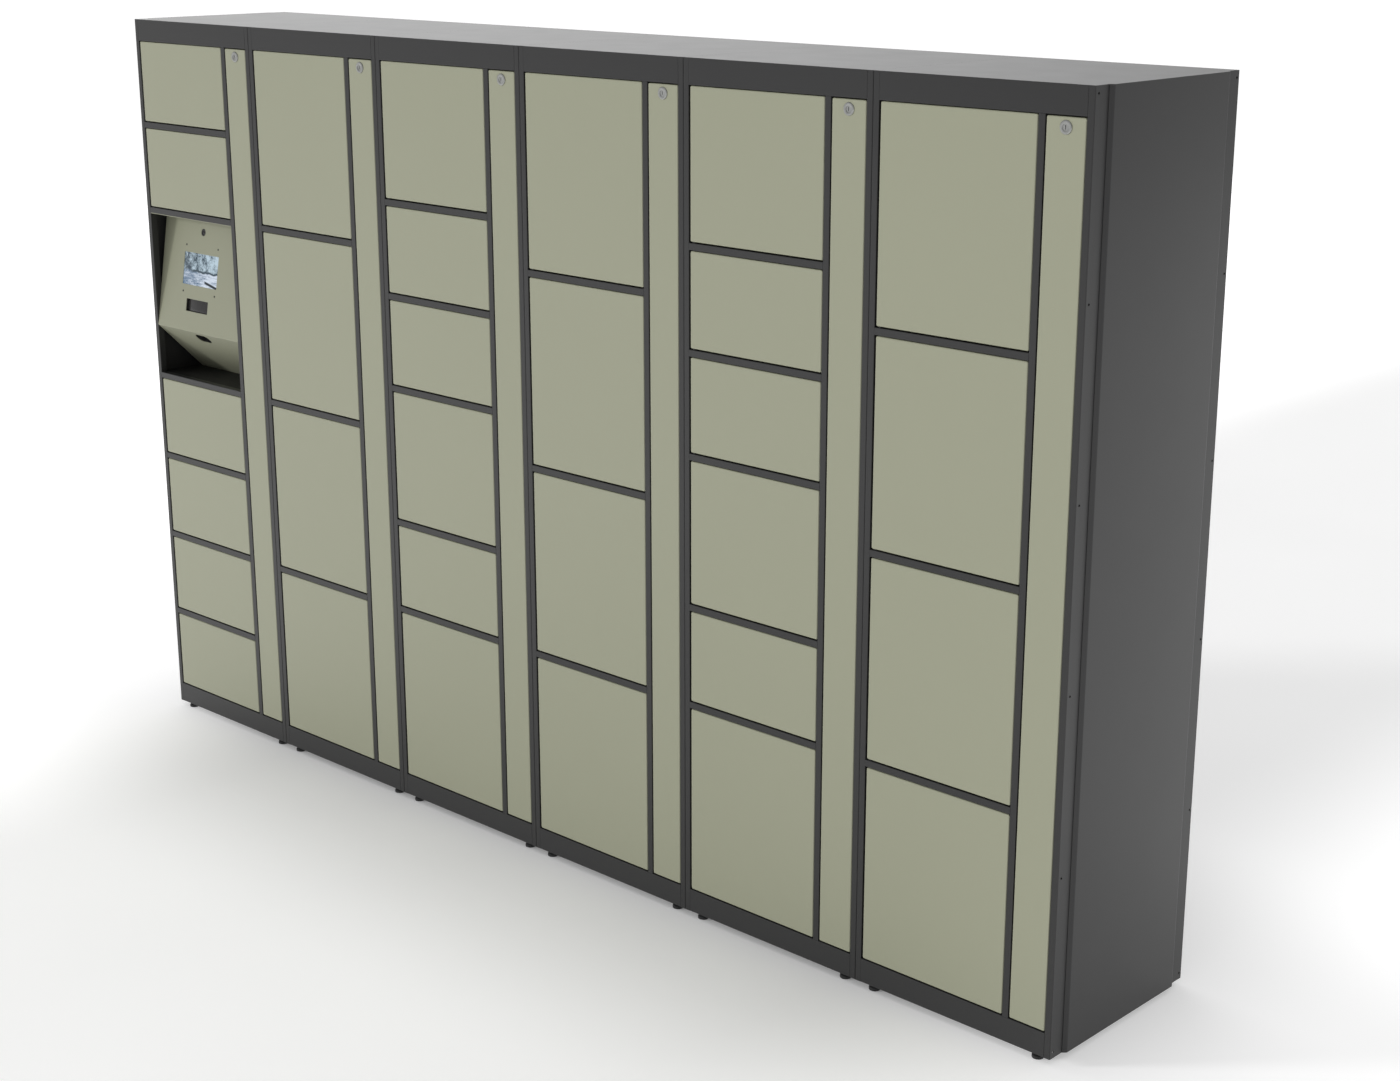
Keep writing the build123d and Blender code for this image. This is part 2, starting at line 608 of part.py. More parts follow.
# ------------------------------------------------------------------ joining bolts and back panel screws
with BuildPart() as panel_fasteners:
    for seam in range(1, COLUMNS):
        x = column_x(seam)
        grip = SEAM / 2 + SHEET
        for a, b, radius in (
            (x - grip - BOLT_HEAD_HEIGHT, x - grip, BOLT_HEAD_RADIUS),
            (x - grip, x + grip, BOLT_RADIUS),
            (x + grip, x + grip + BOLT_HEAD_HEIGHT, BOLT_HEAD_RADIUS),
        ):
            with BuildSketch(Plane.YZ.offset(a)):
                with Locations(*join_points):
                    Circle(radius)
            extrude(amount=b - a)
    with BuildSketch(Plane.XZ.offset(-BACK)):
        with Locations(*screw_points):
            Circle(SCREW_HEAD_RADIUS)
    extrude(amount=-SCREW_HEAD_PROUD)
    fillet(panel_fasteners.edges().group_by(Axis.Y)[-1], SCREW_HEAD_PROUD * 0.6)
    with BuildSketch(Plane.XZ.offset(-BACK)):
        with Locations(*screw_points):
            Circle(SCREW_RADIUS)
    extrude(amount=SCREW_LENGTH)
save(panel_fasteners.part, "panel_fasteners")

# ------------------------------------------------------------------ terminal
LIP_Z = BAY_FLOOR + CONSOLE_LIP
HOOD_Z = BAY_TOP - SHEET
console_left = BAY_X + POST_WIDTH + CONSOLE_SIDE_GAP
console_right = BAY_X + MULLION_LEFT - CONSOLE_SIDE_GAP
lean = radians(FACE_LEAN)
terminal_x = BAY_X + TERMINAL_CENTRE
lip = Vector(terminal_x, FRONT, LIP_Z)
up_face = Vector(0, sin(lean), cos(lean))
face_plane = Plane(origin=lip, x_dir=(1, 0, 0), z_dir=(0, -cos(lean), sin(lean)))
under_plane = Plane(origin=lip, x_dir=(1, 0, 0), z_dir=(0, -1, -1))


def on_face(up, depth=0.0):
    """The face's plane, moved up the slope and in behind the face."""
    return Plane(origin=lip + up_face * up - face_plane.z_dir * depth, x_dir=(1, 0, 0), z_dir=face_plane.z_dir)


with BuildPart() as kiosk_shell:
    with BuildSketch(Plane.YZ.offset(console_left)):
        with BuildLine():
            face_top = (FRONT + tan(lean) * (HOOD_Z - SEAT_GAP - LIP_Z), HOOD_Z - SEAT_GAP)
            FilletPolyline(
                face_top,
                (FRONT, LIP_Z),
                (FRONT + CONSOLE_LIP, BAY_FLOOR),
                radius=CONSOLE_BEND,
            )
            offset(amount=SHEET, side=Side.LEFT)
        make_face()
    extrude(amount=console_right - console_left)
    with BuildSketch(on_face(SCREEN_UP)):
        Rectangle(SCREEN_WIDTH, SCREEN_HEIGHT)
        with GridLocations(DISPLAY_SCREW_X, DISPLAY_SCREW_Y, 2, 2):
            Circle(SCREW_HOLE_RADIUS)
    extrude(amount=SHEET * 2, both=True, mode=Mode.SUBTRACT)
    with BuildSketch(on_face(SCANNER_UP)):
        with Locations((SCANNER_OFFSET, 0)):
            Rectangle(SCANNER_WIDTH, SCANNER_HEIGHT)
    extrude(amount=SHEET * 2, both=True, mode=Mode.SUBTRACT)
    with BuildSketch(on_face(CAMERA_UP)):
        Circle(CAMERA_RADIUS)
    extrude(amount=SHEET * 2, both=True, mode=Mode.SUBTRACT)
    with BuildSketch(under_plane):
        with Locations((SLOT_OFFSET, -SLOT_DOWN)):
            SlotOverall(SLOT_LENGTH, SLOT_WIDTH)
    extrude(amount=SHEET * 2, both=True, mode=Mode.SUBTRACT)
    block((console_left, FRONT, HOOD_Z), (console_right, FRONT + HOOD_DEPTH, BAY_TOP))
save(kiosk_shell.part, "kiosk_shell")

with BuildPart() as kiosk_display:
    with BuildSketch(on_face(SCREEN_UP, SHEET)):
        Rectangle(DISPLAY_WIDTH, DISPLAY_HEIGHT)
    extrude(amount=-DISPLAY_THICKNESS)
    with BuildSketch(on_face(SCREEN_UP, SHEET)):
        with GridLocations(DISPLAY_SCREW_X, DISPLAY_SCREW_Y, 2, 2):
            Circle(SCREW_HOLE_RADIUS)
    extrude(amount=-DISPLAY_THICKNESS, mode=Mode.SUBTRACT)
save(kiosk_display.part, "kiosk_display")

with BuildPart() as kiosk_windows:
    with BuildSketch(on_face(SCANNER_UP, SHEET)):
        with Locations((SCANNER_OFFSET, 0)):
            Rectangle(SCANNER_WIDTH + SCANNER_MARGIN, SCANNER_HEIGHT + SCANNER_MARGIN)
    extrude(amount=-SCANNER_THICKNESS)
    with BuildSketch(on_face(SCANNER_UP, SHEET)):
        with Locations((SCANNER_OFFSET, 0)):
            Rectangle(SCANNER_WIDTH, SCANNER_HEIGHT)
    extrude(amount=-SCANNER_RECESS, mode=Mode.SUBTRACT)
    with BuildSketch(on_face(CAMERA_UP, SHEET)):
        Circle(CAMERA_RADIUS + SHEET)
    extrude(amount=-CAMERA_THICKNESS)
    # duct behind the slot in the underside, closed at its inner end
    with BuildSketch(under_plane.offset(-SHEET)):
        with Locations((SLOT_OFFSET, -SLOT_DOWN)):
            Rectangle(SLOT_LENGTH + 2 * DUCT_MARGIN, SLOT_WIDTH + 2 * DUCT_MARGIN)
    extrude(amount=-DUCT_LENGTH)
    with BuildSketch(under_plane.offset(-SHEET)):
        with Locations((SLOT_OFFSET, -SLOT_DOWN)):
            SlotOverall(SLOT_LENGTH, SLOT_WIDTH)
    extrude(amount=DUCT_WALL - DUCT_LENGTH, mode=Mode.SUBTRACT)
save(kiosk_windows.part, "kiosk_windows")

with BuildPart() as kiosk_screws:
    with BuildSketch(on_face(SCREEN_UP, SHEET + DISPLAY_THICKNESS)):
        with GridLocations(DISPLAY_SCREW_X, DISPLAY_SCREW_Y, 2, 2):
            Circle(SCREW_HOLE_RADIUS - SEAT_GAP)
    extrude(amount=DISPLAY_THICKNESS + SHEET / 2)
save(kiosk_screws.part, "kiosk_screws")

control_y = FRONT + CONSOLE_LIP + CONTROL_GAP
with BuildPart() as control_unit:
    width, depth, height = CONTROL_SIZE
    block(
        (terminal_x - width / 2, control_y, BAY_FLOOR),
        (terminal_x + width / 2, control_y + depth, BAY_FLOOR + height),
    )
    fillet(control_unit.edges().filter_by(Axis.Z), DOOR_CORNER)
    # cable inlet: a ring seated in the back panel
    with BuildSketch(Plane.XZ.offset(-BACK - HEAD_PROUD)):
        with Locations((BAY_X + INLET_X, BAY_FLOOR + INLET_HEIGHT)):
            Circle(INLET_LIP)
            Circle(INLET_RADIUS - HEAD_PROUD, mode=Mode.SUBTRACT)
    extrude(amount=HEAD_PROUD)
    with BuildSketch(Plane.XZ.offset(-BACK - HEAD_PROUD)):
        with Locations((BAY_X + INLET_X, BAY_FLOOR + INLET_HEIGHT)):
            Circle(INLET_RADIUS - SEAT_GAP)
            Circle(INLET_RADIUS - HEAD_PROUD, mode=Mode.SUBTRACT)
    extrude(amount=HEAD_PROUD + SHEET + HEAD_PROUD)
save(control_unit.part, "control_unit")
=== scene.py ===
"""Parcel locker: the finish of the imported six-cabinet bank. Metres, +Z up, the doors face -Y."""

import json
import math

import bmesh
import bpy
import numpy as np
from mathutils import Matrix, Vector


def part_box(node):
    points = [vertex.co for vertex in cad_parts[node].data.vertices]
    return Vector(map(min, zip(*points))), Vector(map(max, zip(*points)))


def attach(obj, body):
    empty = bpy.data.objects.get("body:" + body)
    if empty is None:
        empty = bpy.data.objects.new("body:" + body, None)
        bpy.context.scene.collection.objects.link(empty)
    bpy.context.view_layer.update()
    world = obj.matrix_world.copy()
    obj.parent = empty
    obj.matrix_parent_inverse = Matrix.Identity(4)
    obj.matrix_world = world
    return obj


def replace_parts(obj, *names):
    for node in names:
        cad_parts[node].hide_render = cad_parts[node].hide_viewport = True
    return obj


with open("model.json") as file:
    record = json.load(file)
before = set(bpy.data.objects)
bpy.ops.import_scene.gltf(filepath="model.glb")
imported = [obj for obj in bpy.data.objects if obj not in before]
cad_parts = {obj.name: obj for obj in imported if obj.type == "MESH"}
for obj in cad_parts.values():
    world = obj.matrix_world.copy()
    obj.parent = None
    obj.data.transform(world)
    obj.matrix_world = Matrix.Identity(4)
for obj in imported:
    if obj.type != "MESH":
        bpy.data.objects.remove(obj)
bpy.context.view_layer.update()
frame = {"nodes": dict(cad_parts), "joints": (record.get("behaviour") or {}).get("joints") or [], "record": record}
mounts = {mount["name"]: mount for mount in frame["record"]["mounts"]}
hinges = {joint["child"]: joint["pos_m"] for joint in frame["joints"]}


# Camera: it stands at eye height beyond the right end of the bank.
# It looks down a little, so the top panels show as a narrow band.
camera_data = bpy.data.cameras.new("studio_camera")
camera_data.sensor_width = 36.0
camera_data.lens = 57.71
camera_data.shift_x = -0.0033
camera_data.shift_y = -0.0021
camera_drop = math.radians(16.16)
camera_turn = math.radians(43.34)
camera = bpy.data.objects.new("studio_camera", camera_data)
camera.location = (3.7365, -3.6069, 2.2475)
camera.rotation_euler = (math.pi / 2 - camera_drop, 0.0, camera_turn)
bpy.context.scene.collection.objects.link(camera)
bpy.context.scene.camera = camera


# Front frames, walls, shelves and covers: 1.5 mm sheet steel, folded, spot-welded and powder coated.
# The coat flows out to a fine orange peel, and its gloss drifts a little with its thickness.
def noise_on(material, scale, detail):
    """Noise on Object coordinates, which are the row's own metres: one bump is about 1 / scale long."""
    nodes, links = material.node_tree.nodes, material.node_tree.links
    place = nodes.new("ShaderNodeTexCoord")
    texture = nodes.new("ShaderNodeTexNoise")
    texture.inputs["Scale"].default_value = scale
    texture.inputs["Detail"].default_value = detail
    links.new(place.outputs["Object"], texture.inputs["Vector"])
    return texture.outputs["Fac"]


def powder_coat(name, colour, roughness, drift, gloss=0.45):
    """Powder coat: a colour that drifts over a hand's breadth, a gloss that drifts faster, peel and grain."""
    material = bpy.data.materials.new(name)
    material.use_nodes = True
    nodes, links = material.node_tree.nodes, material.node_tree.links
    paint = nodes["Principled BSDF"]
    paint.inputs["Specular IOR Level"].default_value = gloss
    tint = nodes.new("ShaderNodeMix")
    tint.data_type = "RGBA"
    tint.inputs["A"].default_value = (*[c * (1 - drift) for c in colour], 1)
    tint.inputs["B"].default_value = (*[c * (1 + drift) for c in colour], 1)
    links.new(noise_on(material, 2.3, 4.0), tint.inputs["Factor"])
    links.new(tint.outputs["Result"], paint.inputs["Base Color"])
    sheen = nodes.new("ShaderNodeMapRange")
    sheen.inputs["To Min"].default_value = roughness - 0.02
    sheen.inputs["To Max"].default_value = roughness + 0.02
    links.new(noise_on(material, 11.0, 3.0), sheen.inputs["Value"])
    links.new(sheen.outputs["Result"], paint.inputs["Roughness"])
    grain = nodes.new("ShaderNodeBump")
    grain.inputs["Strength"].default_value = 0.5
    grain.inputs["Distance"].default_value = 0.000006
    links.new(noise_on(material, 2200.0, 2.0), grain.inputs["Height"])
    peel = nodes.new("ShaderNodeBump")
    peel.inputs["Strength"].default_value = 0.5
    peel.inputs["Distance"].default_value = 0.000030
    links.new(noise_on(material, 420.0, 1.0), peel.inputs["Height"])
    links.new(grain.outputs["Normal"], peel.inputs["Normal"])
    links.new(peel.outputs["Normal"], paint.inputs["Normal"])
    return material


def coat(node, material):
    """Give a CAD node its finish."""
    mesh = frame["nodes"][node].data
    mesh.materials.clear()
    mesh.materials.append(material)


frame_paint = powder_coat("frame_paint", (0.0190, 0.0190, 0.0193), 0.36, 0.06)
# The carcass paint is the frame's paint at six tenths of its brightness. It is painted shade: it darkens the
# partitions, shelves and back panels inside the compartments and the alcove.
carcass_paint = powder_coat("carcass_paint", (0.0115, 0.0115, 0.0117), 0.52, 0.10, gloss=0.22)
for node in ("frame_uprights", "frame_rails", "top_and_floor_panels", "side_walls"):
    coat(node, frame_paint)
for node in ("partitions", "shelves", "back_panels"):
    coat(node, carcass_paint)


# End panels: one tray on each end of the bank, folded from sheet with flanks at 45 degrees.
# They hang on the end cabinets and stand 7.5 mm proud, full height, in the frame's paint.
def finished(name, shape, material, body, sharp=35.0):
    """A piece from a shape, which is its vertices and faces: doubles merged, faces outwards, folds sharp."""
    vertices, faces = shape
    mesh = bpy.data.meshes.new(name)
    mesh.from_pydata(vertices.tolist(), [], faces)
    sheet = bmesh.new()
    sheet.from_mesh(mesh)
    bmesh.ops.remove_doubles(sheet, verts=sheet.verts, dist=1e-6)
    bmesh.ops.recalc_face_normals(sheet, faces=sheet.faces)
    sheet.to_mesh(mesh)
    sheet.free()
    mesh.shade_smooth()
    mesh.set_sharp_from_angle(angle=math.radians(sharp))
    mesh.materials.append(material)
    piece = bpy.data.objects.new(name, mesh)
    bpy.context.scene.collection.objects.link(piece)
    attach(piece, body)
    return piece


def loft(rings, ends=True):
    """Skin through closed rings: point j of ring i joins point j + 1 and ring i + 1. Ends are flat caps."""
    count, around = rings.shape[:2]
    i, j = np.meshgrid(np.arange(count - 1 if ends else count), np.arange(around), indexing="ij")
    following, beside = (i + 1) % count, (j + 1) % around
    corners = [i * around + j, i * around + beside, following * around + beside, following * around + j]
    faces = np.stack(corners, -1).reshape(-1, 4).tolist()
    if ends:
        faces += [list(range(around)), list(range((count - 1) * around, count * around))]
    return rings.reshape(-1, 3), faces


def rounded(corners, radius, steps=6):
    """Outline with round corners: near corner P it is (1-t)^2 A + 2t(1-t) P + t^2 B, A and B a radius off."""
    points = np.array(corners, float)
    t = np.linspace(0, 1, steps)[:, None]
    outline = []
    for before, corner, after in zip(np.roll(points, 1, 0), points, np.roll(points, -1, 0)):
        a = corner + (before - corner) * radius / np.linalg.norm(before - corner)
        b = corner + (after - corner) * radius / np.linalg.norm(after - corner)
        outline.append((1 - t) ** 2 * a + 2 * t * (1 - t) * corner + t**2 * b)
    return np.concatenate(outline)


tray_low, tray_high = (np.array(corner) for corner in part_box("end_panels"))
cabinet_low, cabinet_high = (np.array(corner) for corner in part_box("side_walls"))
FOLD_RADIUS = 0.0022
for name, side in (("end_panel_left", -1), ("end_panel_right", 1)):
    wall, face = side * cabinet_high[0], side * tray_high[0]
    flank = abs(face - wall)
    tray = rounded(
        [(wall, tray_low[1]), (face, tray_low[1] + flank), (face, tray_high[1] - flank), (wall, tray_high[1])],
        FOLD_RADIUS,
    )
    rings = np.zeros((2, len(tray), 3))
    rings[:, :, :2] = tray
    rings[:, :, 2] = np.array([tray_low[2], tray_high[2]])[:, None]
    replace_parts(finished(name, loft(rings), frame_paint, "root"), "end_panels")


# Levelling feet: a ribbed rubber pad on a zinc-plated M8 stud, with a hexagonal lock nut.
# Four stand under each cabinet, screwed up into its base rails.
def moulded(name, colour, roughness, metal=0.0, scale=900.0, depth=0.00004):
    """Moulded, plated or ground stuff: one colour, with a fine grain in its gloss and its bump."""
    material = bpy.data.materials.new(name)
    material.use_nodes = True
    nodes, links = material.node_tree.nodes, material.node_tree.links
    surface = nodes["Principled BSDF"]
    surface.inputs["Metallic"].default_value = metal
    tint = nodes.new("ShaderNodeMix")
    tint.data_type = "RGBA"
    tint.inputs["A"].default_value = (*[c * 0.85 for c in colour], 1)
    tint.inputs["B"].default_value = (*[c * 1.12 for c in colour], 1)
    links.new(noise_on(material, scale * 0.1, 4.0), tint.inputs["Factor"])
    links.new(tint.outputs["Result"], surface.inputs["Base Color"])
    gloss = nodes.new("ShaderNodeMapRange")
    gloss.inputs["To Min"].default_value = roughness * 0.75
    gloss.inputs["To Max"].default_value = roughness * 1.25
    grain = noise_on(material, scale, 3.0)
    links.new(grain, gloss.inputs["Value"])
    links.new(gloss.outputs["Result"], surface.inputs["Roughness"])
    bump = nodes.new("ShaderNodeBump")
    bump.inputs["Strength"].default_value = 0.4
    bump.inputs["Distance"].default_value = depth
    links.new(grain, bump.inputs["Height"])
    links.new(bump.outputs["Normal"], surface.inputs["Normal"])
    return material


def turned(profile, around=32, flats=None):
    """Turned shape: profile point (r, h) at angle t goes to (r cos t, r sin t, h).

    flats(t) scales r, as on a nut. A profile that starts off the axis is closed on itself, and makes a ring.
    """
    profile = np.array(profile, float)
    t = np.arange(around) * 2 * np.pi / around
    radius = profile[:, :1] * (np.ones(around) if flats is None else flats(t))
    rings = np.stack([radius * np.cos(t), radius * np.sin(t), profile[:, 1:] * np.ones(around)], -1)
    return loft(rings, ends=bool(profile[0, 0] == 0))


def copies(shape, origins, x_dir=(1, 0, 0), z_dir=(0, 0, 1)):
    """One shape at each origin o, turned to the given directions X and Z: o + x X + y (Z cross X) + z Z."""
    vertices, faces = shape
    axes = np.array([x_dir, np.cross(z_dir, x_dir), z_dir], float)
    every = (vertices @ axes)[None] + np.array(origins, float).reshape(-1, 1, 3)
    step = len(vertices)
    return every.reshape(-1, 3), [[i + n * step for i in face] for n in range(len(every)) for face in faces]


def joined(*shapes):
    """Several shapes as one."""
    starts = np.cumsum([0] + [len(vertices) for vertices, _ in shapes])
    faces = [[i + int(start) for i in face] for start, (_, found) in zip(starts, shapes) for face in found]
    return np.concatenate([vertices for vertices, _ in shapes]), faces


def hexagon(t):
    """Six flats: 1 at the corners, the cosine of 30 degrees at the middle of each flat."""
    return np.cos(np.pi / 6) / np.cos(t % (np.pi / 3) - np.pi / 6)


rubber = moulded("foot_rubber", (0.017, 0.017, 0.018), 0.60)
zinc = moulded("zinc_plate", (0.60, 0.62, 0.65), 0.30, metal=1.0, scale=260.0, depth=0.00001)
foot_low, foot_high = (np.array(corner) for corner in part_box("levelling_feet"))
CABINETS = 6
FOOT_RADIUS = 0.0125
PAD_TOP = 0.0090
NUT_TOP = 0.0130
NUT_RADIUS = 0.0074
STUD_RADIUS = 0.0039
THREAD = 0.00125
pitch = round(2 * cabinet_high[0] / CABINETS, 3)
left = -pitch * CABINETS / 2
foot_inset = foot_low[0] + FOOT_RADIUS - left
foot_places = [
    (left + c * pitch + x, y, 0.0)
    for c in range(CABINETS)
    for x in (foot_inset, pitch - foot_inset)
    for y in (foot_low[1] + FOOT_RADIUS, foot_high[1] - FOOT_RADIUS)
]
pad = turned(
    [
        (0, 0),
        (0.0108, 0),
        (0.0121, 0.0005),
        (FOOT_RADIUS, 0.0014),
        (FOOT_RADIUS, 0.0060),
        (0.0120, 0.0069),
        (0.0100, 0.0084),
        (0.0086, PAD_TOP),
        (0, PAD_TOP),
    ],
    around=72,
    flats=lambda t: 1 - 0.02 * (np.cos(24 * t) > 0.3),
)
nut = turned(
    [
        (0, PAD_TOP),
        (0.0066, PAD_TOP),
        (NUT_RADIUS, 0.0096),
        (NUT_RADIUS, 0.0124),
        (0.0066, NUT_TOP),
        (0, NUT_TOP),
    ],
    around=48,
    flats=hexagon,
)
thread_heights = np.arange(NUT_TOP, foot_high[2] - THREAD, THREAD / 2)
thread = [(STUD_RADIUS - 0.0007 * (i % 2), height) for i, height in enumerate(thread_heights)]
stud = turned([(0, NUT_TOP), *thread, (0, foot_high[2])], around=20)
for name, shape, material, slot in (
    ("foot_pads", pad, rubber, "rubber"),
    ("foot_nuts", nut, zinc, "zinc"),
    ("foot_studs", stud, zinc, "zinc"),
):
    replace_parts(finished(name, copies(shape, foot_places), material, "root"), "levelling_feet")


# Fasteners: zinc-plated pan-head screws with a cross recess, ten in each back panel.
# Button-head bolts and nuts join each two cabinets through their walls, at the joining holes.
def pan_head(radius, height, around=48):
    """Screw head: h (1 - 0.45 (r/R)^4) high at radius r, less a cross 1.1 mm deep where |x| or |y| is small."""
    t = np.arange(around) * 2 * np.pi / around
    r = radius * np.array([0, 0.12, 0.22, 0.32, 0.44, 0.52, 0.60, 0.75, 0.90, 1.0])[:, None]
    x, y = np.abs(r * np.cos(t)), np.abs(r * np.sin(t))
    across_arm = np.clip((0.00065 - np.minimum(x, y)) / 0.0002, 0, 1)
    along_arm = np.clip((0.0021 - np.maximum(x, y)) / 0.0002, 0, 1)
    h = height * (1 - 0.45 * (r / radius) ** 4) - 0.0011 * across_arm * along_arm
    top = np.stack([r * np.cos(t), r * np.sin(t), h], -1)
    foot = top[-1:] * (1, 1, 0)
    return loft(np.concatenate([0 * foot, foot, top[::-1]]))


def heads(shape, origins, z_dir):
    """Heads or nuts on a face whose outward direction is z_dir."""
    x_dir = (0, 0, 1) if z_dir[2] == 0 else (1, 0, 0)
    return copies(shape, origins, x_dir, z_dir)


back_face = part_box("back_panels")[1][1]
body_low, body_high = cabinet_low[2], cabinet_high[2]
SCREW_ROWS = 5
SCREW_END = 0.060
SCREW_EDGE = 0.0075
SCREW_HEAD = 0.0040
SCREW_PROUD = 0.0020
SCREW_SHANK = 0.0020
screw_places = [
    (left + c * pitch + x, back_face, z)
    for c in range(CABINETS)
    for x in (SCREW_EDGE, pitch - SCREW_EDGE)
    for z in np.linspace(body_low + SCREW_END, body_high - SCREW_END, SCREW_ROWS)
]
shank = turned([(0, -0.007), (0.0008, -0.007), (SCREW_SHANK, -0.005), (SCREW_SHANK, 0), (0, 0)], around=12)
screws = joined(
    heads(pan_head(SCREW_HEAD, SCREW_PROUD), screw_places, (0, 1, 0)), heads(shank, screw_places, (0, 1, 0))
)
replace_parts(finished("back_screws", screws, zinc, "root"), "panel_fasteners")

join_places = []
for row in ("outer", "middle", "inner"):
    mount = mounts[f"left_joining_holes_{row}"]
    across, up = mount["dims"]["spacing_x_mm"] / 2000, mount["dims"]["spacing_y_mm"] / 2000
    join_places += [
        (left + c * pitch, mount["pos_m"][1] + sy * across, mount["pos_m"][2] + sz * up)
        for c in range(1, CABINETS)
        for sy in (-1, 1)
        for sz in (-1, 1)
    ]
GRIP = 0.0017
button = turned(
    [
        (0, GRIP + 0.0012),
        (0.0015, GRIP + 0.0014),
        (0.0015, GRIP + 0.0030),
        (0.0028, GRIP + 0.0026),
        (0.0040, GRIP + 0.0008),
        (0.0040, GRIP),
        (0.0024, GRIP),
        (0.0024, -GRIP),
        (0, -GRIP),
    ],
    around=24,
)
bolt_nut = turned(
    [(0, GRIP), (0.0040, GRIP), (0.0040, GRIP + 0.0030), (0, GRIP + 0.0030)],
    around=24,
    flats=hexagon,
)
bolts = joined(heads(button, join_places, (1, 0, 0)), heads(bolt_nut, join_places, (-1, 0, 0)))
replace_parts(finished("joining_bolts", bolts, zinc, "root"), "panel_fasteners")


# Hinge pins: turned steel, blackened and oiled, pressed into the rails above and below each door.
# The lower one has a shoulder that carries the door.
dark_steel = moulded("dark_steel", (0.030, 0.030, 0.032), 0.36, metal=0.6, scale=500.0, depth=0.00001)
coat("hinge_pins", dark_steel)


# Electric locks: a black moulded housing behind the partition, whose nose stands beside the striker.
# A zinc cover is screwed on its duct side, with a wiring socket below and a red hand release.
def block(low, high, radius, steps=3):
    """Box with round edges: an eighth of a ball sits in each corner, and the skin runs from ball to ball."""
    low, high = np.array(low, float), np.array(high, float)
    quarter = np.linspace(0, np.pi / 2, steps + 1)
    lift = np.concatenate([quarter - np.pi / 2, quarter])[:, None]
    turn = np.concatenate([quarter + k * np.pi / 2 for k in range(4)])
    ball = np.stack([np.cos(lift) * np.cos(turn), np.cos(lift) * np.sin(turn), np.sin(lift) + 0 * turn], -1)
    signs = np.ones_like(ball)
    signs[..., 0] = np.repeat([1, -1, -1, 1], steps + 1)
    signs[..., 1] = np.repeat([1, 1, -1, -1], steps + 1)
    signs[..., 2] = np.repeat([-1, 1], steps + 1)[:, None]
    return loft((low + high) / 2 + signs * ((high - low) / 2 - radius) + ball * radius)


LOCK_DEEP = (0.022, 0.084)
LOCK_WIDE = 0.0155
LOCK_TALL = 0.076
NOSE_WIDE = 0.0110
NOSE_TALL = 0.028
NOSE_END = 0.050
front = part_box("frame_uprights")[0][1]
door_nodes = sorted(name for name in frame["nodes"] if name.startswith("door_"))
door_boxes = {name: [np.array(corner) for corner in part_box(name)] for name in door_nodes}
STRIKER_INSET = 0.012
LATCH_TO_LOCK = 0.0025
lock_places = [(door_boxes[name][1][0] + LATCH_TO_LOCK, front, hinges[name][2]) for name in door_nodes]
lock_plastic = moulded("lock_plastic", (0.020, 0.020, 0.022), 0.45)
release_red = moulded("release_red", (0.42, 0.020, 0.015), 0.40)
socket_white = moulded("socket_white", (0.62, 0.60, 0.54), 0.45)
half = LOCK_TALL / 2
housing = joined(
    block((0, LOCK_DEEP[0], -half), (LOCK_WIDE - 0.0012, LOCK_DEEP[1], half), 0.0016),
    block((-NOSE_WIDE, LOCK_DEEP[0], -NOSE_TALL / 2), (0.004, NOSE_END, NOSE_TALL / 2), 0.0012),
)
cover_face = LOCK_WIDE - 0.0014
COVER_INSET = 0.001
cover = block(
    (cover_face, LOCK_DEEP[0] + COVER_INSET, COVER_INSET - half),
    (LOCK_WIDE, LOCK_DEEP[1] - COVER_INSET, half - COVER_INSET),
    0.0006,
)
cover_screws = heads(
    pan_head(0.0030, 0.0015, 24),
    [(LOCK_WIDE, y, z) for y, z in ((0.030, half - 0.008), (0.076, half - 0.008), (0.030, 0.008 - half))],
    (1, 0, 0),
)
socket = block((0.003, LOCK_DEEP[1] - 0.002, -0.026), (0.012, LOCK_DEEP[1] + 0.006, -0.010), 0.0008)
release = block((LOCK_WIDE, 0.060, -0.030), (LOCK_WIDE + 0.003, 0.072, -0.024), 0.0010)
bolt = turned([(0, 0), (0.0030, 0), (0.0036, 0.0004), (0.0036, 0.006), (0, 0.006)], around=24)
bolt = copies(bolt, [(-NOSE_WIDE - 0.0002, 0.037, 0)], (0, 0, 1), (1, 0, 0))
for name, shape, material, slot in (
    ("lock_housings", housing, lock_plastic, "black_plastic"),
    ("lock_covers", joined(cover, cover_screws), zinc, "zinc"),
    ("lock_sockets", socket, socket_white, "black_plastic"),
    ("lock_releases", release, release_red, "black_plastic"),
    ("lock_bolts", bolt, zinc, "zinc"),
):
    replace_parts(finished(name, copies(shape, lock_places), material, "root"), "electric_locks")


# Compartment doors: sage powder coat on pans folded from one sheet, with a stiffener inside.
# Behind each latch edge a zinc-plated striker reaches back beside the lock, with a hole for the bolt.
def holed_plate(low, high, hole, radius, thickness, around=48):
    """Plate from x 0 to thickness: at angle t its outline is as far from the hole as the y or z edge allows."""
    t = np.arange(around) * 2 * np.pi / around
    c, s = np.cos(t), np.sin(t)
    reach_y = np.where(c > 0, high[0] - hole[0], hole[0] - low[0]) / np.maximum(np.abs(c), 1e-9)
    reach_z = np.where(s > 0, high[1] - hole[1], hole[1] - low[1]) / np.maximum(np.abs(s), 1e-9)
    reach = np.minimum(reach_y, reach_z)
    rings = np.zeros((4, around, 3))
    for ring, (x, r) in enumerate(((0, radius), (0, reach), (thickness, reach), (thickness, radius))):
        rings[ring] = np.stack([x + 0 * t, hole[0] + r * c, hole[1] + r * s], -1)
    return loft(rings, ends=False)


